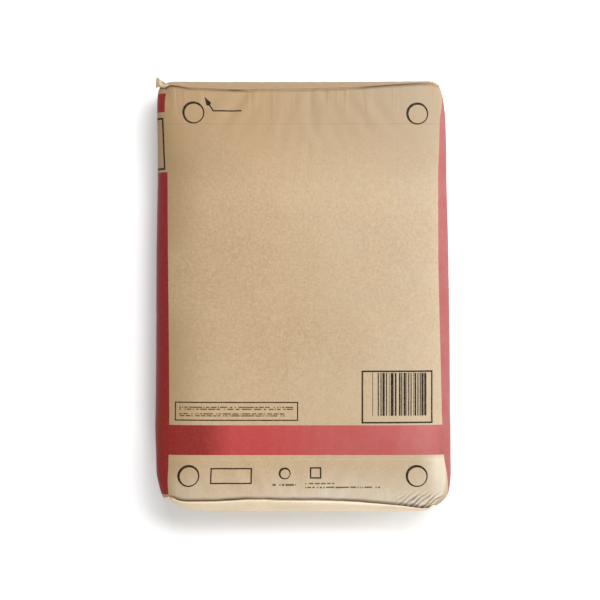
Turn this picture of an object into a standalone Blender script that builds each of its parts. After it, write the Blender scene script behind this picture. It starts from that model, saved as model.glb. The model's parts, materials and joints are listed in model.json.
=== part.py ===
"""A filled 25 kg paper sack with pasted block ends, lying flat on its back.

Metres, +Z up. The sack's length runs along Y, with the end that is torn open at +Y, and its width along X.
The origin is on the floor, under the middle of the sack's outline.
"""

import math

import bmesh
import bpy
from mathutils import Vector

SACK_WIDTH = 0.400
SACK_LENGTH = 0.578
SACK_HEIGHT = 0.096

# The walls of the sack roll up from the flat base, stand out furthest at half height and end at the shoulder,
# where the printed face begins. The crown is that face's rise to its middle, which is flat over a small share of it.
SHOULDER_HEIGHT = 0.084
BULGE_HEIGHT = 0.044
SIDE_BULGE = 0.036
END_BULGE = 0.017
CROWN_FLAT_SHARE = 0.15

# The filling has drawn the sack narrower towards the end at +Y, more on the right than on the left.
DRAW_IN_RIGHT = 0.055
DRAW_IN_LEFT = 0.014

# Sign of X, sign of Y and radius of each corner in plan, anticlockwise from +X +Y.
CORNERS = ((1, 1, 0.016), (-1, 1, 0.010), (-1, -1, 0.032), (1, -1, 0.024))

WALL_STEPS = 9
CROWN_STEPS = 6
CORNER_STEPS = 6
STRAIGHT_STEPS = 6

# A cover patch is one strip of paper, pasted over the folded flaps of each end and round its corners.
PATCH_THICKNESS = 0.0005
PASTE_GAP = 0.0004
PATCH_LOWEST_STEP = 2
PATCH_HIGHEST_STEP = 8

# The tab that starts the tear is pasted on the patch at the left corner, and its free end curls off the sack.
TAB_WIDTH = 0.017
TAB_PAST_CORNER = 0.006
TAB_THICKNESS = 0.0006
TAB_ROOT_STEPS = (6.8, 7.3, 7.8)
TAB_CURL = ((0.0012, 0.0006), (0.0036, 0.0022), (0.0058, 0.0048), (0.0070, 0.0078))
TAB_COLUMNS = 6


def clear_scene():
    for item in list(bpy.data.objects):
        bpy.data.objects.remove(item, do_unlink=True)


def paper_material(name, colour, roughness):
    material = bpy.data.materials.new(name)
    material.use_nodes = True
    shader = material.node_tree.nodes["Principled BSDF"]
    shader.inputs["Base Color"].default_value = (*colour, 1.0)
    shader.inputs["Roughness"].default_value = roughness
    shader.inputs["Metallic"].default_value = 0.0
    material.diffuse_color = (*colour, 1.0)
    return material


def object_from(mesh_builder, name, material):
    mesh = bpy.data.meshes.new(name)
    mesh_builder.to_mesh(mesh)
    mesh_builder.free()
    mesh.materials.append(material)
    piece = bpy.data.objects.new(name, mesh)
    bpy.context.scene.collection.objects.link(piece)
    return piece


def drawn_in(point):
    """The point moved towards the middle of the width, the more the nearer it is to the end at +Y."""
    share = DRAW_IN_RIGHT if point.x > 0 else DRAW_IN_LEFT
    return Vector((point.x * (1 - share * (point.y / SACK_LENGTH + 0.5)), point.y, point.z))


def wall_angle(step):
    """How far the wall has turned up from the base at this step: 0 at the base, 90 degrees where it is widest."""
    shoulder = math.acos(1 - SHOULDER_HEIGHT / BULGE_HEIGHT)
    return shoulder * step / WALL_STEPS


def wall_ring(step, stand_off=0.0):
    """The level ring round the wall at this step, moved outwards by stand_off, anticlockwise from the +X side."""
    angle = wall_angle(step)
    height = BULGE_HEIGHT * (1 - math.cos(angle))
    half_width = SACK_WIDTH / 2 - SIDE_BULGE * (1 - math.sin(angle)) + stand_off
    half_length = SACK_LENGTH / 2 - END_BULGE * math.cos(angle) ** 2 + stand_off
    arcs = []
    for quarter, (side, end, radius) in enumerate(CORNERS):
        radius += stand_off
        centre = Vector((side * (half_width - radius), end * (half_length - radius), height))
        turns = [math.pi / 2 * (quarter + k / CORNER_STEPS) for k in range(CORNER_STEPS + 1)]
        arcs.append([centre + radius * Vector((math.cos(turn), math.sin(turn), 0)) for turn in turns])
    ring = []
    for arc, following in zip(arcs, arcs[1:] + arcs[:1]):
        ring += arc
        ring += [arc[-1].lerp(following[0], k / STRAIGHT_STEPS) for k in range(1, STRAIGHT_STEPS)]
    return [drawn_in(point) for point in ring]


def crown_ring(share):
    """The ring of the face whose width and length are this share of the shoulder's."""
    rise = (SACK_HEIGHT - SHOULDER_HEIGHT) * (1 - share**2) / (1 - CROWN_FLAT_SHARE**2)
    shoulder = wall_ring(WALL_STEPS)
    return [Vector((point.x * share, point.y * share, SHOULDER_HEIGHT + rise)) for point in shoulder]


def sack_body():
    """The filled tube of paper: a flat base, walls that bulge, and a face that is crowned."""
    rings = [wall_ring(step) for step in range(WALL_STEPS + 1)]
    inward = (1 - CROWN_FLAT_SHARE) / CROWN_STEPS
    rings += [crown_ring(1 - inward * step) for step in range(1, CROWN_STEPS + 1)]
    builder = bmesh.new()
    loops = []
    for ring in rings:
        points = [builder.verts.new(point) for point in ring]
        loops.append([builder.edges.new(pair) for pair in zip(points, points[1:] + points[:1])])
    for lower, upper in zip(loops, loops[1:]):
        bmesh.ops.bridge_loops(builder, edges=lower + upper)
    bmesh.ops.contextual_create(builder, geom=loops[0])
    bmesh.ops.contextual_create(builder, geom=loops[-1])
    bmesh.ops.recalc_face_normals(builder, faces=builder.faces)
    piece = object_from(builder, "sack_body", paper_material("kraft paper", (0.56, 0.40, 0.23), 0.75))
    piece.data.shade_smooth()
    piece.data.set_sharp_from_angle(angle=math.radians(40))
    return piece


def sheet_on(name, rows, thickness, material):
    """A thin sheet whose inner side passes through these rows of points, closed all round."""
    builder = bmesh.new()
    columns = len(rows[0])
    bmesh.ops.create_grid(builder, x_segments=columns - 1, y_segments=len(rows) - 1, size=1.0)
    places = sorted(builder.verts, key=lambda vertex: (round(vertex.co.y, 4), vertex.co.x))
    for vertex, place in zip(places, [point for row in rows for point in row]):
        vertex.co = place
    piece = object_from(builder, name, material)
    solidify = piece.modifiers.new("paper thickness", "SOLIDIFY")
    solidify.thickness = thickness
    solidify.offset = 1.0
    solidify.use_even_offset = True
    return piece


def end_patch(name, first_corner):
    """The cover patch of the end that starts at this corner, from the middle of one corner to that of the next."""
    run = CORNER_STEPS + STRAIGHT_STEPS
    start = first_corner * run + CORNER_STEPS // 2
    rows = []
    for step in range(PATCH_LOWEST_STEP, PATCH_HIGHEST_STEP + 1):
        ring = wall_ring(step, PASTE_GAP)
        rows.append(ring[start : start + run + 1])
    return sheet_on(name, rows, PATCH_THICKNESS, paper_material(name + " paper", (0.66, 0.50, 0.32), 0.7))


def opening_tab():
    """The tab at the left corner of the end at +Y: its root lies on the patch, and its free end curls outwards."""
    run = CORNER_STEPS + STRAIGHT_STEPS
    stand_off = 2 * PASTE_GAP + PATCH_THICKNESS
    rows = []
    for step in TAB_ROOT_STEPS:
        ring = wall_ring(step, stand_off)
        outer = ring[run] - Vector((TAB_PAST_CORNER, 0, 0))
        inner = outer + Vector((TAB_WIDTH, 0, 0))
        rows.append([outer.lerp(inner, k / TAB_COLUMNS) for k in range(TAB_COLUMNS + 1)])
    root = rows[-1]
    for lift, outwards in TAB_CURL:
        slant = [1 - k / TAB_COLUMNS / 2 for k in range(TAB_COLUMNS + 1)]
        rows.append([p + Vector((0, outwards * share, lift)) for p, share in zip(root, slant)])
    rows = [list(reversed(row)) for row in rows]
    return sheet_on("opening_tab", rows, TAB_THICKNESS, paper_material("tab paper", (0.72, 0.60, 0.44), 0.7))


def centre_on_floor(pieces):
    """Moves the pieces together, so that the middle of the box round them all is over the origin."""
    bpy.context.view_layer.update()
    graph = bpy.context.evaluated_depsgraph_get()
    points = []
    for piece in pieces:
        shown = piece.evaluated_get(graph)
        points += [shown.matrix_world @ vertex.co for vertex in shown.data.vertices]
    for axis in (0, 1):
        values = [point[axis] for point in points]
        middle = (min(values) + max(values)) / 2
        for piece in pieces:
            piece.location[axis] = -middle


clear_scene()
centre_on_floor(
    [
        sack_body(),
        end_patch("top_end_patch", first_corner=0),
        end_patch("bottom_end_patch", first_corner=2),
        opening_tab(),
    ]
)
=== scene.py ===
"""A filled paper sack of cement, lying on its back: the folded tube, its print and the papers pasted on its ends."""

import json
import math

import bpy
import numpy as np
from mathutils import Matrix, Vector

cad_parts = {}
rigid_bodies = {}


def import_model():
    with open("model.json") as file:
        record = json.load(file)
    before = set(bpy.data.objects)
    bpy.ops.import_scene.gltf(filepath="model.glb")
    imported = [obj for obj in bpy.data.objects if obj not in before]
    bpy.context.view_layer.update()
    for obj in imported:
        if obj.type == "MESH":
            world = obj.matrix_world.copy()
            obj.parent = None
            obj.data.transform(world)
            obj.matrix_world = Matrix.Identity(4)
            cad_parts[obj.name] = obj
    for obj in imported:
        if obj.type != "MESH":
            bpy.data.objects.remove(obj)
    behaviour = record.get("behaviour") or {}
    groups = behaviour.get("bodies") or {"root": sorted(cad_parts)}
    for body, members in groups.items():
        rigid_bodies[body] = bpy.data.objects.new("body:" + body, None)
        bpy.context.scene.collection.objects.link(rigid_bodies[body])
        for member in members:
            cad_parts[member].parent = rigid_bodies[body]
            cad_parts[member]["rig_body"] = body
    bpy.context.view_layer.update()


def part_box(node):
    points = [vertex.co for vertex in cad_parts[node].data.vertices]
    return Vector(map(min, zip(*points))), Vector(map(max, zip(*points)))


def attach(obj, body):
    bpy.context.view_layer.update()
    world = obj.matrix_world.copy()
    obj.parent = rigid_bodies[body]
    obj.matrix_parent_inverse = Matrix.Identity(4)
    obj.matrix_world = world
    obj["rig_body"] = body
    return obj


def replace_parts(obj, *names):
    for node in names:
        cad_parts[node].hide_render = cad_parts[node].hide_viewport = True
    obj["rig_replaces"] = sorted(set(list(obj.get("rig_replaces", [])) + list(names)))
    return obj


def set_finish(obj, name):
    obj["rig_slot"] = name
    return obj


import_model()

# The sack: a tube of three plies of brown kraft paper, folded flat into a block at each end and filled with powder.
# Its long sides have no edge and roll round, while the folds that turn the face over to the ends stay sharp.
# The lying sack is flat where it rests, and its face is crowned between two flatter bands over the folded ends.

BLOCK_WIDTH = 0.374
BLOCK_LENGTH = 0.548
BLOCK_HEIGHT = 0.088
PAPER_CELL = 0.006

sack_low, sack_high = (np.array(corner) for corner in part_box("sack_body"))
sack_middle = (sack_low + sack_high) / 2
sack_half = (sack_high - sack_low) / 2


def places_of(mesh):
    places = np.empty(len(mesh.vertices) * 3)
    mesh.vertices.foreach_get("co", places)
    return places.reshape(-1, 3)


def set_places(mesh, places):
    mesh.vertices.foreach_set("co", np.asarray(places).ravel())
    mesh.update()


def pick(piece, kind, wanted):
    """Leaves only the vertices, edges or faces for which wanted is true selected, in edit mode."""
    bpy.ops.object.mode_set(mode="EDIT")
    bpy.ops.mesh.select_mode(type=kind)
    bpy.ops.mesh.select_all(action="DESELECT")
    bpy.ops.object.mode_set(mode="OBJECT")
    parts = {"VERT": piece.data.vertices, "EDGE": piece.data.edges, "FACE": piece.data.polygons}[kind]
    for part in parts:
        part.select = bool(wanted(part))
    bpy.ops.object.mode_set(mode="EDIT")


def runs_along(mesh, edge, axis):
    start, end = (mesh.vertices[index].co for index in edge.vertices)
    return abs(end[axis] - start[axis]) > 0.9 * (end - start).length


bpy.ops.object.select_all(action="DESELECT")
bpy.ops.mesh.primitive_cube_add(size=1)
sack = bpy.context.object
sack.name = sack.data.name = "sack"
sack.scale = (BLOCK_WIDTH, BLOCK_LENGTH, BLOCK_HEIGHT)
bpy.ops.object.transform_apply(location=True, rotation=True, scale=True)
for axis, length in enumerate((BLOCK_WIDTH, BLOCK_LENGTH, BLOCK_HEIGHT)):
    pick(sack, "EDGE", lambda edge: runs_along(sack.data, edge, axis))
    bpy.ops.mesh.subdivide(number_cuts=round(length / PAPER_CELL) - 1)
    bpy.ops.object.mode_set(mode="OBJECT")

# The block's own places stay with the mesh, because they say where on the flat paper each point is.
block = places_of(sack.data)
sack.data.attributes.new("block", "FLOAT_VECTOR", "POINT").data.foreach_set("vector", block.ravel())
on_end = np.abs(block[:, 1]) > BLOCK_LENGTH / 2 - 1e-6
inside_rim = (np.abs(block[:, 0]) < BLOCK_WIDTH / 2 - 1e-6) & (np.abs(block[:, 2]) < BLOCK_HEIGHT / 2 - 1e-6)
on_panel = on_end & inside_rim

FOLD_HEIGHT = 0.085
MID_HEIGHT = 0.046
FACE_FOLD = {1: 0.2725, -1: 0.2680}
CORNER_ROUND = {(1, 1): 60, (-1, 1): 40, (-1, -1): 40, (1, -1): 50}
END_FALL = {(1, 1): 40, (-1, 1): 30, (-1, -1): 8, (1, -1): 12}

# The outline isn't straight: half widths on the left and the right, at these distances from the middle.
ALONG = (-0.289, -0.281, -0.274, -0.266, -0.252, -0.236, -0.173, -0.072, 0.063, 0.198, 0.240, 0.265, 0.279, 0.289)
LEFT_WIDTHS = (
    0.1800, 0.1828, 0.1850, 0.1878, 0.1912, 0.1947, 0.1983, 0.1970, 0.1965, 0.1945, 0.1940, 0.1935, 0.1928, 0.1920
)
RIGHT_WIDTHS = (
    0.1745, 0.1800, 0.1868, 0.1935, 0.1962, 0.1980, 0.1990, 0.1982, 0.1962, 0.1930, 0.1905, 0.1870, 0.1840, 0.1828
)

# Nor do the folds of the face run straight: places across the sack, and each fold's distance from the middle there.
FOLD_LINES = {
    1: (
        (-0.190, -0.172, -0.157, -0.094, -0.027, 0.037, 0.086, 0.136, 0.170),
        (0.2800, 0.2775, 0.2745, 0.2723, 0.2730, 0.2744, 0.2765, 0.2798, 0.2815),
    ),
    -1: (
        (-0.182, -0.169, -0.125, -0.080, -0.017, 0.023, 0.076, 0.119, 0.143, 0.170, 0.180),
        (0.2680, 0.2695, 0.2692, 0.2664, 0.2678, 0.2680, 0.2702, 0.2738, 0.2758, 0.2792, 0.2802),
    ),
}


def smooth_step(value, start, end):
    share = np.clip((value - start) / (end - start), 0, 1)
    return share * share * (3 - 2 * share)


def tube_section(station):
    """The filled tube's half section at this distance along the block: x from 0 to 1 and z, from face to back."""
    from_fold = BLOCK_LENGTH / 2 - abs(station)
    roundness = smooth_step(from_fold, 0.010, 0.120)
    top_power = 8 - 4.7 * roundness
    back_power = 8 - 2.5 * roundness
    rise = 1 - np.clip(1 - from_fold / 0.11, 0, 1) ** 2
    top = FOLD_HEIGHT + (sack_high[2] - FOLD_HEIGHT) * rise
    bottom = 0.0025 * np.clip(1 - from_fold / 0.03, 0, 1) ** 2
    turn = np.linspace(math.pi / 2, -math.pi / 2, 1201)
    lift = np.sin(turn)
    power = np.where(lift >= 0, top_power, back_power)
    reach = np.where(lift >= 0, top - MID_HEIGHT, MID_HEIGHT - bottom)
    z = MID_HEIGHT + reach * np.sign(lift) * np.abs(lift) ** (2 / power)
    x = np.clip(np.cos(turn), 0, 1) ** (2 / power)
    return x, z


def half_width(y, side):
    return np.interp(y, ALONG, RIGHT_WIDTHS if side > 0 else LEFT_WIDTHS)


def tube_places(points):
    """Where the points of the block's four long sides go on the filled tube: x from -1 to 1, y, z and the girth."""
    placed = np.empty((len(points), 4))
    x, y, z = points.T
    side = np.where(x < 0, -1, 1)
    half_girth = BLOCK_WIDTH + BLOCK_HEIGHT
    girth = np.where(z > BLOCK_HEIGHT / 2 - 1e-6, np.abs(x), BLOCK_WIDTH / 2 + BLOCK_HEIGHT / 2 - z)
    girth = np.where(z < -BLOCK_HEIGHT / 2 + 1e-6, half_girth - np.abs(x), girth)
    for station in np.unique(np.round(y, 6)):
        row = np.abs(y - station) < 1e-5
        curve_x, curve_z = tube_section(station)
        width = 0.5 * (half_width(station, 1) + half_width(station, -1))
        steps = np.hypot(np.diff(curve_x * width), np.diff(curve_z))
        walked = np.concatenate([[0], np.cumsum(steps)])
        share = girth[row] / half_girth * walked[-1]
        placed[row, 0] = np.interp(share, walked, curve_x) * side[row]
        placed[row, 2] = np.interp(share, walked, curve_z)
        own_width = np.where(side[row] > 0, half_width(station, 1), half_width(station, -1))
        placed[row, 3] = share * side[row] * own_width / width
    placed[:, 1] = y
    return placed


def end_places(points, end):
    """Where the points of one end of the block go: a sheet spanned by the tube's last section."""
    edge = BLOCK_WIDTH / 2, BLOCK_HEIGHT / 2
    ones = np.ones(len(points))

    def rim(x, z):
        return tube_places(np.column_stack([x, end * BLOCK_LENGTH / 2 * ones, z]))

    across = (points[:, 0:1] / edge[0] + 1) / 2
    up = (points[:, 2:3] / edge[1] + 1) / 2
    left, right = rim(-edge[0] * ones, points[:, 2]), rim(edge[0] * ones, points[:, 2])
    base, top = rim(points[:, 0], -edge[1] * ones), rim(points[:, 0], edge[1] * ones)
    corners = [rim(sx * edge[0] * ones, sz * edge[1] * ones) for sx, sz in ((-1, -1), (1, -1), (-1, 1), (1, 1))]
    plane = (1 - up) * ((1 - across) * corners[0] + across * corners[1])
    plane += up * ((1 - across) * corners[2] + across * corners[3])
    return left + across * (right - left) + base + up * (top - base) - plane


def corner_value(values, x, end):
    return np.where(x > 0, values[1, end], values[-1, end])


filled = np.empty((len(block), 4))
filled[~on_panel] = tube_places(block[~on_panel])
for end in (1, -1):
    here = on_panel & (block[:, 1] * end > 0)
    filled[here] = end_places(block[here], end)
girth_place = filled[:, 3]
filled = filled[:, :3]

for end in (1, -1):
    here = block[:, 1] * end >= 0
    x = filled[here, 0]
    share = np.abs(block[here, 1]) / (BLOCK_LENGTH / 2)
    from_fold = BLOCK_LENGTH / 2 * (1 - share)
    fold_line = np.interp(x * sack_half[0], *FOLD_LINES[end])
    length = FACE_FOLD[end] * share + (fold_line - FACE_FOLD[end]) * np.clip(1 - from_fold / 0.09, 0, 1) ** 2
    middle = (FOLD_HEIGHT + 0.0025) / 2
    bulge = np.clip(1 - ((filled[here, 2] - middle) / (FOLD_HEIGHT / 2)) ** 2, 0, 1) ** 0.8
    bulge = bulge * np.clip(1 - np.abs(x) ** corner_value(END_FALL, x, end), 0, 1) ** 0.6
    length = np.where(on_panel[here], fold_line + (sack_half[1] - fold_line) * bulge, length)
    width = np.where(x > 0, half_width(end * length, 1), half_width(end * length, -1))
    power = corner_value(CORNER_ROUND, x, end)
    out_x, out_y = np.abs(x), length / sack_half[1]
    out = np.maximum(out_x, out_y)
    squeezed = out / (out_x**power + out_y**power) ** (1 / power)
    squeezed = 1 + (squeezed - 1) * smooth_step(out, 0.72, 1.0)
    filled[here, 0] = x * width * squeezed
    filled[here, 1] = end * length * squeezed
filled += sack_middle * (1, 1, 0)

# The powder lies a little unevenly under the face.
LUMP_HEIGHT = 0.0009
LUMPS = ((21.0, 13.0, 0.6), (-17.0, 29.0, 2.1), (8.0, -24.0, 4.0))
lumps = sum(np.sin(across * filled[:, 0] + along * filled[:, 1] + start) for across, along, start in LUMPS)
filled[:, 2] += LUMP_HEIGHT * lumps * smooth_step(filled[:, 2], MID_HEIGHT, FOLD_HEIGHT) * ~on_panel

# Print is placed on the flat paper: u runs round the tube in metres from the middle of the face, and v runs along it
# from the middle of the sack's length, and past each fold on down the end.
fold_places = np.where(block[:, 1] > 0, FACE_FOLD[1], -FACE_FOLD[-1])
paper_v = np.where(on_panel, fold_places, filled[:, 1])
paper = sack.data.uv_layers.new(name="paper")
for face in sack.data.polygons:
    centre = face.center
    for loop in face.loop_indices:
        index = sack.data.loops[loop].vertex_index
        u, v = math.copysign(girth_place[index], centre.x), paper_v[index]
        if abs(face.normal.y) > 0.5:
            u = block[index, 0]
            v = fold_places[index] + math.copysign(BLOCK_HEIGHT / 2 - block[index, 2], v)
        paper.data[loop].uv = (u, v)

# The paper is a little longer than the shape that it is filled to, most of all across its ends, so it buckles into
# creases while the cloth solver presses it from its own size to that shape.
SLACK_ACROSS = 0.0015
SLACK_ACROSS_ENDS = 0.008
SLACK_ALONG = 0.0012
SETTLE_FRAMES = 10
PRESS_FRAMES = 5

from_fold = BLOCK_LENGTH / 2 - np.abs(block[:, 1])
near_end = 1 - smooth_step(from_fold, 0.01, 0.07)
slack = np.column_stack([SLACK_ACROSS + SLACK_ACROSS_ENDS * near_end, SLACK_ALONG + 0 * near_end, 0 * near_end])
uneven = np.random.default_rng(3).normal(size=filled.shape) * 0.00005
set_places(sack.data, filled * (1 + slack) + uneven)
sack.shape_key_add(name="flat paper")
pressed = sack.shape_key_add(name="filled")
pressed.data.foreach_set("co", filled.ravel())
pressed.value = 0
pressed.keyframe_insert("value", frame=1)
pressed.value = 1
pressed.keyframe_insert("value", frame=PRESS_FRAMES)

hold = 0.5 - 0.16 * near_end
hold[np.abs(block[:, 0]) > BLOCK_WIDTH / 2 - 1e-6] = 0.32
hold[from_fold < 0.012] = 0.5
hold[on_panel] = 0.6
held = sack.vertex_groups.new(name="held by the filling")
for index, weight in enumerate(hold):
    held.add([index], float(weight), "REPLACE")

bpy.ops.object.modifier_add(type="CLOTH")
settle = sack.modifiers[-1].settings
settle.quality = 5
settle.mass = 0.002
settle.tension_stiffness = settle.compression_stiffness = 80
settle.tension_stiffness_max = settle.compression_stiffness_max = 80
settle.shear_stiffness = 40
settle.bending_stiffness = 30
settle.tension_damping = settle.compression_damping = settle.shear_damping = 5
settle.effector_weights.gravity = 0
settle.vertex_group_mass = held.name
settle.pin_stiffness = 1.0
sack.modifiers[-1].collision_settings.use_collision = False
for step in range(1, SETTLE_FRAMES + 1):
    bpy.context.scene.frame_set(step)
bpy.ops.object.convert(target="MESH")
bpy.context.scene.frame_set(1)
moved = places_of(sack.data) - filled
far = np.linalg.norm(moved, axis=1, keepdims=True)
filled = filled + moved * np.minimum(1, 0.005 / np.maximum(far, 1e-9))
sack.vertex_groups.clear()
filled[:, 2] = np.maximum(filled[:, 2], 0)
set_places(sack.data, filled)


def is_fold(edge):
    """True on the four folds where the face and the back turn over to an end."""
    starts = [block[index] for index in edge.vertices]
    on_y = all(abs(place[1]) > BLOCK_LENGTH / 2 - 1e-6 for place in starts)
    return on_y and all(abs(place[2]) > BLOCK_HEIGHT / 2 - 1e-6 for place in starts)


pick(sack, "EDGE", is_fold)
bpy.ops.transform.edge_crease(value=0.8)
bpy.ops.object.mode_set(mode="OBJECT")
bpy.ops.object.modifier_add(type="SUBSURF")
sack.modifiers[-1].levels = sack.modifiers[-1].render_levels = 1
bpy.ops.object.modifier_apply(modifier=sack.modifiers[-1].name)


def block_of(mesh):
    places = np.empty(len(mesh.vertices) * 3)
    mesh.attributes["block"].data.foreach_get("vector", places)
    return places.reshape(-1, 3)


# Rows of finer faces just under each upper fold take the groove between the fold's lip and the end.
block = block_of(sack.data)


def starts_at_fold(edge):
    ends = [block[index] for index in edge.vertices]
    on_y = all(abs(place[1]) > BLOCK_LENGTH / 2 - 1e-5 for place in ends)
    depths = sorted(BLOCK_HEIGHT / 2 - place[2] for place in ends)
    return on_y and depths[0] < 1e-5 < depths[1]


pick(sack, "EDGE", starts_at_fold)
bpy.ops.mesh.subdivide(number_cuts=3)
bpy.ops.object.mode_set(mode="OBJECT")

block = block_of(sack.data)
places = places_of(sack.data)
below_fold = BLOCK_HEIGHT / 2 - block[:, 2]
on_end = np.abs(block[:, 1]) > BLOCK_LENGTH / 2 - 1e-5
open_places = {
    -1: ((-0.18, -0.165, -0.12, -0.09, -0.06, -0.02, 0.02, 0.09, 0.16, 0.18), (0, 0.9, 0.8, 1, 0.5, 0.7, 0.6, 0.9, 1, 0.3)),
    1: ((-0.19, -0.17, -0.14, -0.1, -0.09, -0.07, 0.07, 0.09, 0.14, 0.17), (1, 1, 0.3, 0.5, 0.9, 0.25, 0.3, 0.9, 1, 0.2)),
}
open_fold = {end: np.interp(places[:, 0], *points) for end, points in open_places.items()}
for end in (1, -1):
    here = on_end & (block[:, 1] * end > 0)
    depth = np.interp(below_fold[here], (0, 0.00075, 0.0015, 0.00225), (0.0006, -0.0012, -0.0012, 0))
    places[here, 1] += end * depth * open_fold[end][here]
set_places(sack.data, places)
# The groove is also painted dark: painted shade, strongest a millimetre or two below the fold and where the fold stands
# open.
fold_gap_shade = np.where(on_end, np.interp(below_fold, (0, 0.00075, 0.0015, 0.00225), (0.2, 1, 1, 0.38)), 0)
fold_gap_shade = fold_gap_shade * np.where(block[:, 1] > 0, open_fold[1], open_fold[-1])
sack.data.attributes.new("fold_gap_shade", "FLOAT", "POINT").data.foreach_set("value", fold_gap_shade)
bpy.ops.object.shade_smooth()


def add_node(tree, kind, inputs=None, **settings):
    """Adds a shader node with these settings. Its inputs are plain values or other nodes' outputs."""
    node = tree.nodes.new("ShaderNode" + kind)
    for name, value in settings.items():
        setattr(node, name, value)
    for socket, value in (inputs or {}).items():
        if isinstance(value, bpy.types.NodeSocket):
            tree.links.new(value, node.inputs[socket])
        else:
            node.inputs[socket].default_value = value
    return node


def sum_up(tree, operation, *values):
    return add_node(tree, "Math", dict(enumerate(values)), operation=operation).outputs[0]


def mix_colour(tree, share, under, over, blend="MIX"):
    inputs = {0: share, 6: under, 7: over}
    return add_node(tree, "Mix", inputs, data_type="RGBA", blend_type=blend).outputs[2]


def ramp(tree, value, start, end, low=0.0, high=1.0, smooth=False):
    inputs = {0: value, 1: start, 2: end, 3: low, 4: high}
    shape = "SMOOTHSTEP" if smooth else "LINEAR"
    return add_node(tree, "MapRange", inputs, interpolation_type=shape).outputs[0]


def new_group(name, inputs, outputs):
    """A shader node group with sockets of these names and kinds: its tree, its inputs and its outputs."""
    group = bpy.data.node_groups.new(name, "ShaderNodeTree")
    for label, kind in inputs.items():
        group.interface.new_socket(label, in_out="INPUT", socket_type="NodeSocket" + kind)
    for label, kind in outputs.items():
        group.interface.new_socket(label, in_out="OUTPUT", socket_type="NodeSocket" + kind)
    return group, group.nodes.new("NodeGroupInput").outputs, group.nodes.new("NodeGroupOutput").inputs


def use_group(tree, group, inputs):
    node = tree.nodes.new("ShaderNodeGroup")
    node.node_tree = group
    for socket, value in inputs.items():
        if isinstance(value, bpy.types.NodeSocket):
            tree.links.new(value, node.inputs[socket])
        else:
            node.inputs[socket].default_value = value
    return node.outputs


def kraft_group():
    """Kraft paper: cloudy patches, long fibres, dark specks and the relief of its surface."""
    kraft, given, result = new_group(
        "kraft paper", {"Place": "Vector"}, {"Cloud": "Float", "Mottle": "Float", "Fibre": "Float", "Speck": "Float", "Relief": "Float"}
    )
    place = given["Place"]
    cloud = add_node(kraft, "TexNoise", {"Vector": place, "Scale": 9.0, "Detail": 4.0, "Roughness": 0.6}).outputs[0]
    mottle = add_node(kraft, "TexNoise", {"Vector": place, "Scale": 300.0, "Detail": 4.0, "Roughness": 0.7}).outputs[0]
    long = add_node(kraft, "Mapping", {"Vector": place, "Scale": (1.0, 0.22, 1.0)}).outputs[0]
    fibre = add_node(kraft, "TexNoise", {"Vector": long, "Scale": 420.0, "Detail": 3.0, "Roughness": 0.7}).outputs[0]
    fine = add_node(kraft, "TexNoise", {"Vector": place, "Scale": 900.0, "Detail": 2.0}).outputs[0]
    speck = add_node(kraft, "TexVoronoi", {"Vector": place, "Scale": 130.0, "Randomness": 1.0}).outputs[0]
    cockle = add_node(kraft, "TexNoise", {"Vector": place, "Scale": 38.0, "Detail": 3.0, "Roughness": 0.55}).outputs[0]
    kraft.links.new(cloud, result["Cloud"])
    kraft.links.new(mottle, result["Mottle"])
    kraft.links.new(fibre, result["Fibre"])
    kraft.links.new(ramp(kraft, speck, 0.05, 0.11, 1.0, 0.0), result["Speck"])
    relief = sum_up(kraft, "MULTIPLY_ADD", cockle, 6.0, fibre)
    kraft.links.new(sum_up(kraft, "MULTIPLY_ADD", fine, 0.5, relief), result["Relief"])
    return kraft


def box_group():
    """A printed box: the mask of its area and of the line round its inner edge."""
    sides = {"U": "Float", "V": "Float", "Left": "Float", "Right": "Float", "Bottom": "Float", "Top": "Float"}
    box, given, result = new_group("printed box", {**sides, "Line": "Float"}, {"Area": "Float", "Outline": "Float"})
    gaps = [
        sum_up(box, "SUBTRACT", given["Left"], given["U"]),
        sum_up(box, "SUBTRACT", given["U"], given["Right"]),
        sum_up(box, "SUBTRACT", given["Bottom"], given["V"]),
        sum_up(box, "SUBTRACT", given["V"], given["Top"]),
    ]
    outside = sum_up(box, "MAXIMUM", sum_up(box, "MAXIMUM", gaps[0], gaps[1]), sum_up(box, "MAXIMUM", gaps[2], gaps[3]))
    area = sum_up(box, "LESS_THAN", outside, 0.0)
    core = sum_up(box, "LESS_THAN", sum_up(box, "ADD", outside, given["Line"]), 0.0)
    box.links.new(area, result["Area"])
    box.links.new(sum_up(box, "SUBTRACT", area, core), result["Outline"])
    return box


def ring_group():
    """A printed ring, whose line is thicker on its upper left."""
    inputs = {"U": "Float", "V": "Float", "Centre U": "Float", "Centre V": "Float", "Radius": "Float", "Line": "Float"}
    ring, given, result = new_group("printed ring", inputs, {"Outline": "Float"})

    def disc(shift, radius):
        across = sum_up(ring, "SUBTRACT", sum_up(ring, "SUBTRACT", given["U"], given["Centre U"]), shift)
        up = sum_up(ring, "ADD", sum_up(ring, "SUBTRACT", given["V"], given["Centre V"]), shift)
        square = sum_up(ring, "MULTIPLY_ADD", across, across, sum_up(ring, "MULTIPLY", up, up))
        return sum_up(ring, "LESS_THAN", sum_up(ring, "SQRT", square), radius)

    offset = sum_up(ring, "MULTIPLY", given["Line"], 0.27)
    inner = sum_up(ring, "SUBTRACT", given["Radius"], given["Line"])
    ring.links.new(sum_up(ring, "SUBTRACT", disc(0.0, given["Radius"]), disc(offset, inner)), result["Outline"])
    return ring


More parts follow.
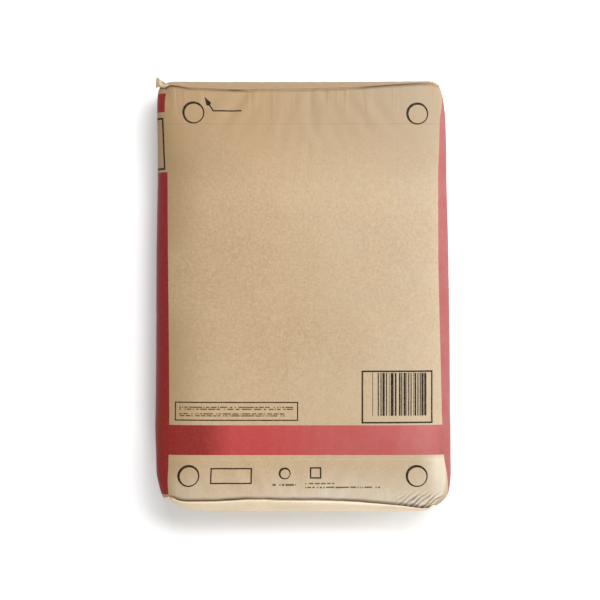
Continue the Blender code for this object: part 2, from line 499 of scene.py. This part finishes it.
def stroke_group():
    """A printed straight stroke, which may taper from one end to the other."""
    ends = {"Start U": "Float", "Start V": "Float", "End U": "Float", "End V": "Float"}
    inputs = {"U": "Float", "V": "Float", **ends, "Start Width": "Float", "End Width": "Float"}
    stroke, given, result = new_group("printed stroke", inputs, {"Area": "Float"})
    run_u = sum_up(stroke, "SUBTRACT", given["End U"], given["Start U"])
    run_v = sum_up(stroke, "SUBTRACT", given["End V"], given["Start V"])
    from_u = sum_up(stroke, "SUBTRACT", given["U"], given["Start U"])
    from_v = sum_up(stroke, "SUBTRACT", given["V"], given["Start V"])
    square = sum_up(stroke, "MULTIPLY_ADD", run_u, run_u, sum_up(stroke, "MULTIPLY", run_v, run_v))
    along = sum_up(stroke, "MULTIPLY_ADD", from_u, run_u, sum_up(stroke, "MULTIPLY", from_v, run_v))
    share = ramp(stroke, sum_up(stroke, "DIVIDE", along, square), 0.0, 1.0)
    off_u = sum_up(stroke, "SUBTRACT", from_u, sum_up(stroke, "MULTIPLY", run_u, share))
    off_v = sum_up(stroke, "SUBTRACT", from_v, sum_up(stroke, "MULTIPLY", run_v, share))
    far = sum_up(stroke, "SQRT", sum_up(stroke, "MULTIPLY_ADD", off_u, off_u, sum_up(stroke, "MULTIPLY", off_v, off_v)))
    inputs = {0: share, 2: given["Start Width"], 3: given["End Width"]}
    width = add_node(stroke, "Mix", inputs, data_type="FLOAT").outputs[0]
    stroke.links.new(sum_up(stroke, "LESS_THAN", far, sum_up(stroke, "MULTIPLY", width, 0.5)), result["Area"])
    return stroke


kraft_paper = kraft_group()
printed_box = box_group()
printed_ring = ring_group()
printed_stroke = stroke_group()

KRAFT_BROWN = (0.353, 0.242, 0.127, 1)
KRAFT_DARK = (0.280, 0.182, 0.088, 1)
KRAFT_PALE = (0.424, 0.312, 0.190, 1)
DEEP_RED = (0.190, 0.012, 0.010, 1)
SHEENED_RED = (0.345, 0.040, 0.038, 1)
PRINT_INK = (0.014, 0.008, 0.005, 1)
FOLD_SHADE = (0.045, 0.017, 0.007, 1)
PAINTED_SHEEN_GREY = (0.300, 0.340, 0.325, 1)
PALE_DUST_AND_HIGHLIGHT = (0.560, 0.500, 0.410, 1)

RED_START = 0.2693
RED_END = -0.263
RED_WRAP = 0.292
BAND_TOP = -0.1699
BAND_BOTTOM = -0.2094
SEAM_PLACE = 0.400

sack_paper = bpy.data.materials.new("printed kraft")
sack_paper.use_nodes = True
tree = sack_paper.node_tree
shader = tree.nodes["Principled BSDF"]
object_place = add_node(tree, "TexCoord").outputs["Object"]
sheet_place = add_node(tree, "UVMap", uv_map="paper").outputs[0]
kraft = use_group(tree, kraft_paper, {"Place": object_place})

# Ink creeps a little along the fibres, so every printed edge wavers by a fraction of a millimetre.
creep = add_node(tree, "TexNoise", {"Vector": object_place, "Scale": 900.0, "Detail": 2.0}).outputs["Color"]
creep = add_node(tree, "VectorMath", {0: creep, 1: (0.5, 0.5, 0.5)}, operation="SUBTRACT").outputs[0]
creep = add_node(tree, "VectorMath", {0: creep, 3: 0.0006}, operation="SCALE").outputs[0]
inked = add_node(tree, "VectorMath", {0: sheet_place, 1: creep}, operation="ADD").outputs[0]
sheet_axes = add_node(tree, "SeparateXYZ", {0: inked}).outputs
u, v = sheet_axes[0], sheet_axes[1]
block_place = add_node(tree, "Attribute", attribute_name="block").outputs["Vector"]
block_up = add_node(tree, "SeparateXYZ", {0: block_place}).outputs[2]
on_face = ramp(tree, block_up, BLOCK_HEIGHT / 2 - 0.0060, BLOCK_HEIGHT / 2 - 0.0005)


def both(*masks):
    result = masks[0]
    for mask in masks[1:]:
        result = sum_up(tree, "MULTIPLY", result, mask)
    return result


def either(*masks):
    result = masks[0]
    for mask in masks[1:]:
        result = sum_up(tree, "MAXIMUM", result, mask)
    return result


def box(left, right, bottom, top, line=0.0):
    sides = {"Left": left, "Right": right, "Bottom": bottom, "Top": top}
    return use_group(tree, printed_box, {"U": u, "V": v, **sides, "Line": line})


def ring(centre_u, centre_v, radius, line):
    inputs = {"U": u, "V": v, "Centre U": centre_u, "Centre V": centre_v, "Radius": radius, "Line": line}
    return use_group(tree, printed_ring, inputs)["Outline"]


def stroke(start, end, start_width, end_width):
    ends = {"Start U": start[0], "Start V": start[1], "End U": end[0], "End V": end[1]}
    return use_group(
        tree, printed_stroke, {"U": u, "V": v, **ends, "Start Width": start_width, "End Width": end_width}
    )["Area"]


# The red sides leave a box on the left bare, and a red band joins them across the face.
left_edge = ramp(tree, v, RED_END, RED_START, -0.1770, -0.1830)
right_edge = sum_up(tree, "ADD", ramp(tree, v, 0.05, -0.20, 0.1825, 0.1888), ramp(tree, v, -0.214, -0.265, 0.0, 0.0085))
right_edge = sum_up(tree, "ADD", right_edge, ramp(tree, v, 0.235, 0.268, 0.0, 0.007))
on_left = both(sum_up(tree, "LESS_THAN", u, left_edge), sum_up(tree, "GREATER_THAN", u, -RED_WRAP))
on_right = both(sum_up(tree, "GREATER_THAN", u, right_edge), sum_up(tree, "LESS_THAN", u, RED_WRAP))
sides = both(either(on_left, on_right), box(-1.0, 1.0, RED_END, RED_START)["Area"])
bare_window = box(-0.275, -0.170, 0.1653, 0.2442)["Area"]
band = box(-0.19, 0.19, BAND_BOTTOM, BAND_TOP)["Area"]
red = either(both(sides, sum_up(tree, "SUBTRACT", 1.0, bare_window)), band)

window_line = box(-0.262, -0.1850, 0.1684, 0.2368, 0.0026)["Outline"]
RING_RADIUS = 0.0148
RING_LINE = 0.0025
rings = either(
    ring(-0.1443, 0.2434, RING_RADIUS, RING_LINE),
    ring(0.1516, 0.2419, RING_RADIUS, RING_LINE),
    ring(-0.1502, -0.2374, RING_RADIUS, RING_LINE),
    ring(0.1507, -0.2375, RING_RADIUS, RING_LINE),
)
pointer = either(
    stroke((-0.0812, 0.2456), (-0.1179, 0.2456), 0.0019, 0.0019),
    stroke((-0.1179, 0.2456), (-0.1258, 0.2583), 0.0019, 0.0019),
    stroke((-0.1294, 0.2642), (-0.1243, 0.2559), 0.0002, 0.0066),
)
frames = either(
    box(-0.1702, -0.0058, -0.1642, -0.1391, 0.0016)["Outline"],
    box(0.0777, 0.1733, -0.1675, -0.0977, 0.0022)["Outline"],
    box(-0.1213, -0.0664, -0.2483, -0.2265, 0.0019)["Outline"],
)
BAR_MODULE = 0.00078
column = sum_up(tree, "FLOOR", sum_up(tree, "DIVIDE", u, BAR_MODULE))
column_draw = add_node(tree, "TexWhiteNoise", {"W": column}, noise_dimensions="1D").outputs[0]
bars = both(box(0.0916, 0.1657, -0.1574, -0.1008)["Area"], sum_up(tree, "GREATER_THAN", column_draw, 0.42))


def dashes(left, right, bottom, top, seed):
    """A row of plain dashes of uneven length."""
    step = sum_up(tree, "FLOOR", sum_up(tree, "ADD", sum_up(tree, "DIVIDE", u, 0.0016), seed))
    drawn = add_node(tree, "TexWhiteNoise", {"W": step}, noise_dimensions="1D").outputs[0]
    return both(box(left, right, bottom, top)["Area"], sum_up(tree, "GREATER_THAN", drawn, 0.22))


small_marks = either(
    dashes(-0.1640, -0.0125, -0.1472, -0.1456, 3.0),
    dashes(-0.1640, -0.0125, -0.1498, -0.1482, 211.0),
    dashes(-0.1640, -0.0235, -0.1558, -0.1542, 71.0),
    dashes(-0.1640, -0.0235, -0.1584, -0.1568, 131.0),
    dashes(-0.0393, -0.0086, -0.2506, -0.2480, 19.0),
    dashes(0.0033, 0.0430, -0.2486, -0.2468, 37.0),
    dashes(0.0033, 0.1021, -0.2539, -0.2519, 53.0),
)
badges = either(
    ring(-0.0236, -0.2338, 0.0080, 0.0021),
    box(0.0095, 0.0247, -0.2410, -0.2256, 0.0020)["Outline"],
)
ink = either(window_line, rings, pointer, frames, bars, sum_up(tree, "MULTIPLY", small_marks, 0.85), badges)

# Where the print is thin, the kraft shows through it.
wear = add_node(tree, "TexNoise", {"Vector": object_place, "Scale": 260.0, "Detail": 4.0}).outputs[0]
red = both(red, ramp(tree, wear, 0.3, 0.6, 0.96, 1.0))
ink = both(ink, ramp(tree, wear, 0.3, 0.6, 0.9, 1.0))

brown = mix_colour(tree, ramp(tree, kraft["Cloud"], 0.25, 0.75), KRAFT_DARK, KRAFT_PALE)
brown = mix_colour(tree, 0.45, brown, KRAFT_BROWN)
brown = mix_colour(tree, ramp(tree, kraft["Fibre"], 0.3, 0.7, 0.0, 0.6), brown, KRAFT_DARK)
brown = mix_colour(tree, ramp(tree, kraft["Mottle"], 0.38, 0.68, 0.0, 0.7), brown, KRAFT_PALE)
# The face is painted darker towards the upper fold, as painted shade, and paler towards the lower fold, as painted
# light.
brown = mix_colour(tree, ramp(tree, v, 0.12, 0.25, 0.0, 0.85, smooth=True), brown, KRAFT_DARK)
brown = mix_colour(tree, ramp(tree, v, -0.02, -0.22, 0.0, 0.35, smooth=True), brown, KRAFT_PALE)
brown = mix_colour(tree, sum_up(tree, "MULTIPLY", kraft["Speck"], 0.25), brown, KRAFT_DARK)
# Along the left of the face, except in a band across its middle, the kraft is painted darker: painted shade on the side
# turned from the light.
away = sum_up(tree, "ABSOLUTE", sum_up(tree, "SUBTRACT", v, 0.02))
left_shade = both(ramp(tree, u, -0.120, -0.175, 0.0, 0.6, smooth=True), ramp(tree, away, 0.02, 0.07, 0.2, 1.0, smooth=True))
brown = mix_colour(tree, left_shade, brown, KRAFT_DARK)
# From left of the middle to the right, the red is painted paler, a painted sheen of the light from the right; the left
# side stays deep red and the right side takes part of the sheen.
red_sheen = both(ramp(tree, u, -0.140, -0.085, smooth=True), ramp(tree, u, 0.170, 0.190, 1.0, 0.45, smooth=True))
colour = mix_colour(tree, red, brown, mix_colour(tree, red_sheen, DEEP_RED, SHEENED_RED))

# The right of the face is painted with a thin grey film in patches, a painted sheen of the light from the right.
# Along the lower fold the paper is paler, partly cement dust and partly painted light, and the right edge of the face
# below the band is painted bright as a highlight.
patches = add_node(tree, "TexNoise", {"Vector": object_place, "Scale": 14.0, "Detail": 5.0, "Roughness": 0.65}).outputs[0]
patches = ramp(tree, patches, 0.35, 0.7, 0.4, 1.0)
sheen_film = ramp(tree, u, -0.05, 0.16, 0.0, 0.26)
sheen_film = both(sheen_film, ramp(tree, u, 0.176, 0.186, 1.0, 0.8))
colour = mix_colour(tree, both(sheen_film, patches), colour, PAINTED_SHEEN_GREY)
unprinted = sum_up(tree, "SUBTRACT", 1.0, red)
# Painted highlight along the right edge of the face below the band.
edge = both(ramp(tree, u, 0.156, 0.178, 0.0, 0.95), ramp(tree, v, -0.205, -0.215), on_face, unprinted)
off_sides = ramp(tree, sum_up(tree, "ABSOLUTE", u), 0.165, 0.178, 1.0, 0.0)
# Paler near the lower fold: cement dust, and painted light.
by_fold = both(ramp(tree, v, -0.225, -0.262, 0.0, 0.55), off_sides)
colour = mix_colour(tree, both(either(by_fold, edge), patches), colour, PALE_DUST_AND_HIGHLIGHT)
colour = mix_colour(tree, ink, colour, PRINT_INK)
# Painted shade in the groove under each upper fold.
gap = add_node(tree, "Attribute", attribute_name="fold_gap_shade").outputs["Fac"]
gap_shade = ramp(tree, gap, 0.2, 0.45, 0.0, 0.9)
colour = mix_colour(tree, gap_shade, colour, FOLD_SHADE)
rough = sum_up(tree, "MULTIPLY_ADD", kraft["Cloud"], 0.2, 0.50)
rough = sum_up(tree, "MULTIPLY_ADD", either(red, ink), -0.08, rough)
tree.links.new(rough, shader.inputs["Roughness"])
grain = add_node(tree, "Bump", {"Height": kraft["Relief"], "Strength": 0.25, "Distance": 0.0003}).outputs[0]

# Under the face, the ends of the folded flaps press a step into the paper near each fold, and so does the tube's
# own glued seam on the back. The paper is finely pleated at right angles to the folds, and across one corner.
steps = sum_up(
    tree, "ADD", ramp(tree, v, 0.2274, 0.2292, smooth=True), ramp(tree, v, -0.2143, -0.2161, smooth=True)
)
seam = both(ramp(tree, u, SEAM_PLACE, SEAM_PLACE + 0.0012, smooth=True), sum_up(tree, "LESS_THAN", u, 1.0))
sheet_steps = sum_up(tree, "ADD", steps, seam)
stepped = add_node(tree, "Bump", {"Height": sheet_steps, "Strength": 1.0, "Distance": 0.0004, "Normal": grain})


def pleats(angle, across, along, seed):
    """Fine creases that run along a direction of the flat paper, angle degrees from its length."""
    turn = {"Vector": sheet_place, "Rotation": (0, 0, math.radians(angle)), "Location": (seed, 0, 0)}
    turned = add_node(tree, "Mapping", turn).outputs[0]
    place = add_node(tree, "Mapping", {"Vector": turned, "Scale": (across, along, 1.0)}).outputs[0]
    waves = add_node(tree, "TexNoise", {"Vector": place, "Scale": 1.0, "Detail": 1.0, "Distortion": 0.3}).outputs[0]
    return ramp(tree, waves, 0.48, 0.70, smooth=True)


near_top = ramp(tree, v, 0.226, 0.262, 0.0, 1.0, smooth=True)
near_bottom = ramp(tree, v, -0.246, -0.268, 0.0, 0.7, smooth=True)
straight = both(pleats(0, 85.0, 8.0, 0.4), either(near_top, near_bottom), 0.8)

# At the right of the lower fold the paper is gathered into short puckers, which slant away from the corner.
PUCKERS_PER_METRE = 165.0
waver = add_node(tree, "TexNoise", {"Vector": sheet_place, "Scale": 55.0, "Detail": 2.0}).outputs[0]
slant = sum_up(tree, "MULTIPLY_ADD", u, -0.67, sum_up(tree, "MULTIPLY", v, 0.74))
phase = sum_up(tree, "MULTIPLY_ADD", slant, math.tau * PUCKERS_PER_METRE, sum_up(tree, "MULTIPLY", waver, 9.0))
pucker = sum_up(tree, "MULTIPLY_ADD", sum_up(tree, "SINE", phase), 0.5, 0.5)
puckered = both(
    ramp(tree, v, -0.2555, -0.2690, smooth=True),
    ramp(tree, u, 0.112, 0.150, smooth=True),
    ramp(tree, waver, 0.30, 0.50, 0.35, 1.0),
    on_face,
)
creases = sum_up(tree, "ADD", straight, sum_up(tree, "MULTIPLY", both(pucker, puckered), 2.0))
# The puckers' crests are painted pale as highlights, and their hollows are painted dark as shade.
colour = mix_colour(tree, both(ramp(tree, pucker, 0.55, 1.0, 0.0, 0.6), puckered), colour, PALE_DUST_AND_HIGHLIGHT)
colour = mix_colour(tree, both(ramp(tree, pucker, 0.35, 0.0, 0.0, 0.75), puckered), colour, FOLD_SHADE)
tree.links.new(colour, shader.inputs["Base Color"])
creased = add_node(
    tree, "Bump", {"Height": creases, "Strength": 1.0, "Distance": 0.0006, "Normal": stepped.outputs[0]}
)

# The long sides, which the powder pushes out last, keep shallow buckles.
off_middle = sum_up(tree, "ABSOLUTE", u)
on_sides = both(ramp(tree, off_middle, 0.185, 0.215, smooth=True), ramp(tree, off_middle, 0.27, 0.29, 1.0, 0.0))
loose = add_node(tree, "Mapping", {"Vector": sheet_place, "Scale": (26.0, 9.0, 1.0)}).outputs[0]
loose = add_node(tree, "TexNoise", {"Vector": loose, "Scale": 1.0, "Detail": 2.0, "Distortion": 0.6}).outputs[0]
buckled = add_node(
    tree, "Bump", {"Height": both(loose, on_sides), "Strength": 0.6, "Distance": 0.004, "Normal": creased.outputs[0]}
)
tree.links.new(buckled.outputs[0], shader.inputs["Normal"])
gloss = either(ink, gap_shade, sum_up(tree, "MULTIPLY", red, 0.5))
tree.links.new(ramp(tree, gloss, 0.0, 1.0, 0.35, 0.06), shader.inputs["Specular IOR Level"])
sack.data.materials.append(sack_paper)
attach(sack, "root")
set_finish(sack, "printed_kraft")
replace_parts(sack, "sack_body")

# The end patches: one strip of plain, paler kraft on each end, pasted over the folded flaps from corner to corner.
# A patch stops just short of the folds above and below it, and its edges stand a little off the paper under it.

PATCH_DROP = 0.0028
PATCH_LIFT = 0.0075
PATCH_PAPER = 0.0005
PATCH_DARK = (0.67, 0.525, 0.355, 1)
PATCH_PALE = (0.81, 0.67, 0.49, 1)
TOP_PATCH_SHADE = (0.280, 0.188, 0.098, 1)

patch_paper = bpy.data.materials.new("patch kraft")
patch_paper.use_nodes = True
tree = patch_paper.node_tree
shader = tree.nodes["Principled BSDF"]
object_place = add_node(tree, "TexCoord").outputs["Object"]
kraft = use_group(tree, kraft_paper, {"Place": object_place})
pale = mix_colour(tree, ramp(tree, kraft["Cloud"], 0.3, 0.7), PATCH_DARK, PATCH_PALE)
pale = mix_colour(tree, ramp(tree, kraft["Fibre"], 0.3, 0.7, 0.0, 0.2), pale, KRAFT_BROWN)
flat_place = add_node(tree, "Attribute", attribute_name="block").outputs["Vector"]
flat_axes = add_node(tree, "SeparateXYZ", {0: flat_place}).outputs
# The top patch is painted darker brown: painted shade on the end turned away from the front fill.
top_shade = ramp(tree, flat_axes[1], 0.0, 0.1, 0.0, 0.95)
pale = mix_colour(tree, top_shade, pale, TOP_PATCH_SHADE)
pale = mix_colour(tree, sum_up(tree, "MULTIPLY", kraft["Speck"], 0.25), pale, KRAFT_DARK)
tree.links.new(pale, shader.inputs["Base Color"])
tree.links.new(sum_up(tree, "MULTIPLY_ADD", kraft["Cloud"], 0.2, 0.55), shader.inputs["Roughness"])
grain = add_node(tree, "Bump", {"Height": kraft["Relief"], "Strength": 0.3, "Distance": 0.0003}).outputs[0]

# The folded flaps press through the patch: one long flap over the other, and a pocket fold at each side.
from_side = sum_up(tree, "SUBTRACT", BLOCK_WIDTH / 2, sum_up(tree, "ABSOLUTE", flat_axes[0]))
from_rim = sum_up(tree, "SUBTRACT", BLOCK_HEIGHT / 2, sum_up(tree, "ABSOLUTE", flat_axes[2]))
pocket = sum_up(tree, "SUBTRACT", from_side, from_rim)
flaps = ramp(tree, pocket, -0.0010, 0.0010, smooth=True)
overlap = sum_up(tree, "MULTIPLY", flaps, ramp(tree, flat_axes[2], 0.0090, 0.0110, smooth=True))
flaps = sum_up(tree, "ADD", flaps, overlap)
pressed = add_node(tree, "Bump", {"Height": flaps, "Strength": 1.0, "Distance": 0.0006, "Normal": grain})
tree.links.new(pressed.outputs[0], shader.inputs["Normal"])
shader.inputs["Specular IOR Level"].default_value = 0.35

for name, end in (("top_end_patch", 1), ("bottom_end_patch", -1)):
    bpy.ops.object.select_all(action="DESELECT")
    patch = sack.copy()
    patch.data = sack.data.copy()
    patch.name = patch.data.name = name.replace("_end_", "_cover_")
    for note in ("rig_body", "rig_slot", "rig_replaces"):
        if note in patch:
            del patch[note]
    patch.parent = None
    bpy.context.scene.collection.objects.link(patch)
    bpy.context.view_layer.objects.active = patch
    patch.select_set(True)
    block = block_of(patch.data)

    def outside_patch(face):
        corners = block[list(face.vertices)]
        low, high = corners[:, 2].min() + BLOCK_HEIGHT / 2, BLOCK_HEIGHT / 2 - corners[:, 2].max()
        return not (
            (corners[:, 1] * end > BLOCK_LENGTH / 2 - 1e-5).all() and low > PATCH_LIFT and high > PATCH_DROP
        )

    pick(patch, "FACE", outside_patch)
    bpy.ops.mesh.delete(type="FACE")
    bpy.ops.mesh.select_all(action="SELECT")
    bpy.ops.transform.shrink_fatten(value=0.0004)
    bpy.ops.object.mode_set(mode="OBJECT")
    bpy.ops.object.modifier_add(type="SOLIDIFY")
    patch.modifiers[-1].thickness = PATCH_PAPER
    patch.modifiers[-1].offset = 1
    bpy.ops.object.modifier_apply(modifier=patch.modifiers[-1].name)
    patch.data.materials.clear()
    patch.data.materials.append(patch_paper)
    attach(patch, "root")
    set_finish(patch, "patch_kraft")
    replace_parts(patch, name)

# The opening tab: the free corner of a paper strip, pasted under the fold at the left of the end that is torn open.
# It is gripped to start the tear, and it has curled up off the corner.

tab_low, tab_high = (np.array(corner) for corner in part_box("opening_tab"))
bpy.ops.object.select_all(action="DESELECT")
bpy.ops.mesh.primitive_grid_add(x_subdivisions=12, y_subdivisions=14, size=1)
tab = bpy.context.object
tab.name = tab.data.name = "tear_tab"
flat = places_of(tab.data) + (0.5, 0.5, 0)
across, along = flat[:, 0], flat[:, 1]
left = -0.1952 + 0.0015 * along
right = -0.1735 - 0.0165 * along**0.8
x = left + (right - left) * across
y = 0.2765 + 0.0030 * across + 0.0130 * along * (1 - 0.3 * across) + 0.0007 * np.sin(9 * across + 4 * along)
z = 0.0800 + 0.0060 * across * (1 - across) + 0.0105 * np.sin(along * 1.5) + 0.0010 * np.sin(11 * across - 7 * along)
set_places(tab.data, np.column_stack([x, y, z]))
bpy.ops.object.modifier_add(type="SOLIDIFY")
tab.modifiers[-1].thickness = 0.0005
bpy.ops.object.modifier_apply(modifier=tab.modifiers[-1].name)
bpy.ops.object.shade_smooth()
# The tab is painted half-way to the top patch's painted shade.
half_shade = np.tile((0, 0.055, 0), len(tab.data.vertices))
tab.data.attributes.new("block", "FLOAT_VECTOR", "POINT").data.foreach_set("vector", half_shade)
tab.data.materials.append(patch_paper)
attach(tab, "root")
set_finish(tab, "patch_kraft")
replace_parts(tab, "opening_tab")

# The setting: a white floor, one broad light from the right and a camera straight above.

bpy.ops.mesh.primitive_plane_add(size=12)
floor = bpy.context.object
floor.name = "floor"
floor_paint = bpy.data.materials.new("white floor")
floor_paint.use_nodes = True
floor_paint.node_tree.nodes["Principled BSDF"].inputs["Base Color"].default_value = (0.9, 0.9, 0.9, 1)
floor_paint.node_tree.nodes["Principled BSDF"].inputs["Roughness"].default_value = 0.9
floor.data.materials.append(floor_paint)

world = bpy.data.worlds.new("pale room")
world.use_nodes = True
world.node_tree.nodes["Background"].inputs["Color"].default_value = (1, 1, 1, 1)
world.node_tree.nodes["Background"].inputs["Strength"].default_value = 0.35
bpy.context.scene.world = world

# Each lamp: its name, its power, and where it stands, turned from +X and down from straight above, in degrees.
LAMPS = (("side light", 27, 8, 75), ("top light", 26, 45, 30), ("back light", 19, 90, 30), ("front fill", 14, 270, 55))
for name, power, turn, drop in LAMPS:
    light = bpy.data.lights.new(name, "AREA")
    light.energy = power
    light.size = 0.9
    lamp = bpy.data.objects.new(name, light)
    turn, drop = math.radians(turn), math.radians(drop)
    level = math.sin(drop)
    lamp.location = Vector((math.cos(turn) * level, math.sin(turn) * level, math.cos(drop))) * 2.0
    lamp.rotation_euler = (-lamp.location).to_track_quat("-Z", "Y").to_euler()
    bpy.context.scene.collection.objects.link(lamp)

CAMERA_HEIGHT = 2.2
camera = bpy.data.cameras.new("camera")
camera.lens = 95.7
eye = bpy.data.objects.new("camera", camera)
eye.location = (-0.0034, -0.0047, CAMERA_HEIGHT)
bpy.context.scene.collection.objects.link(eye)
bpy.context.scene.camera = eye
bpy.context.scene.view_settings.view_transform = "Standard"
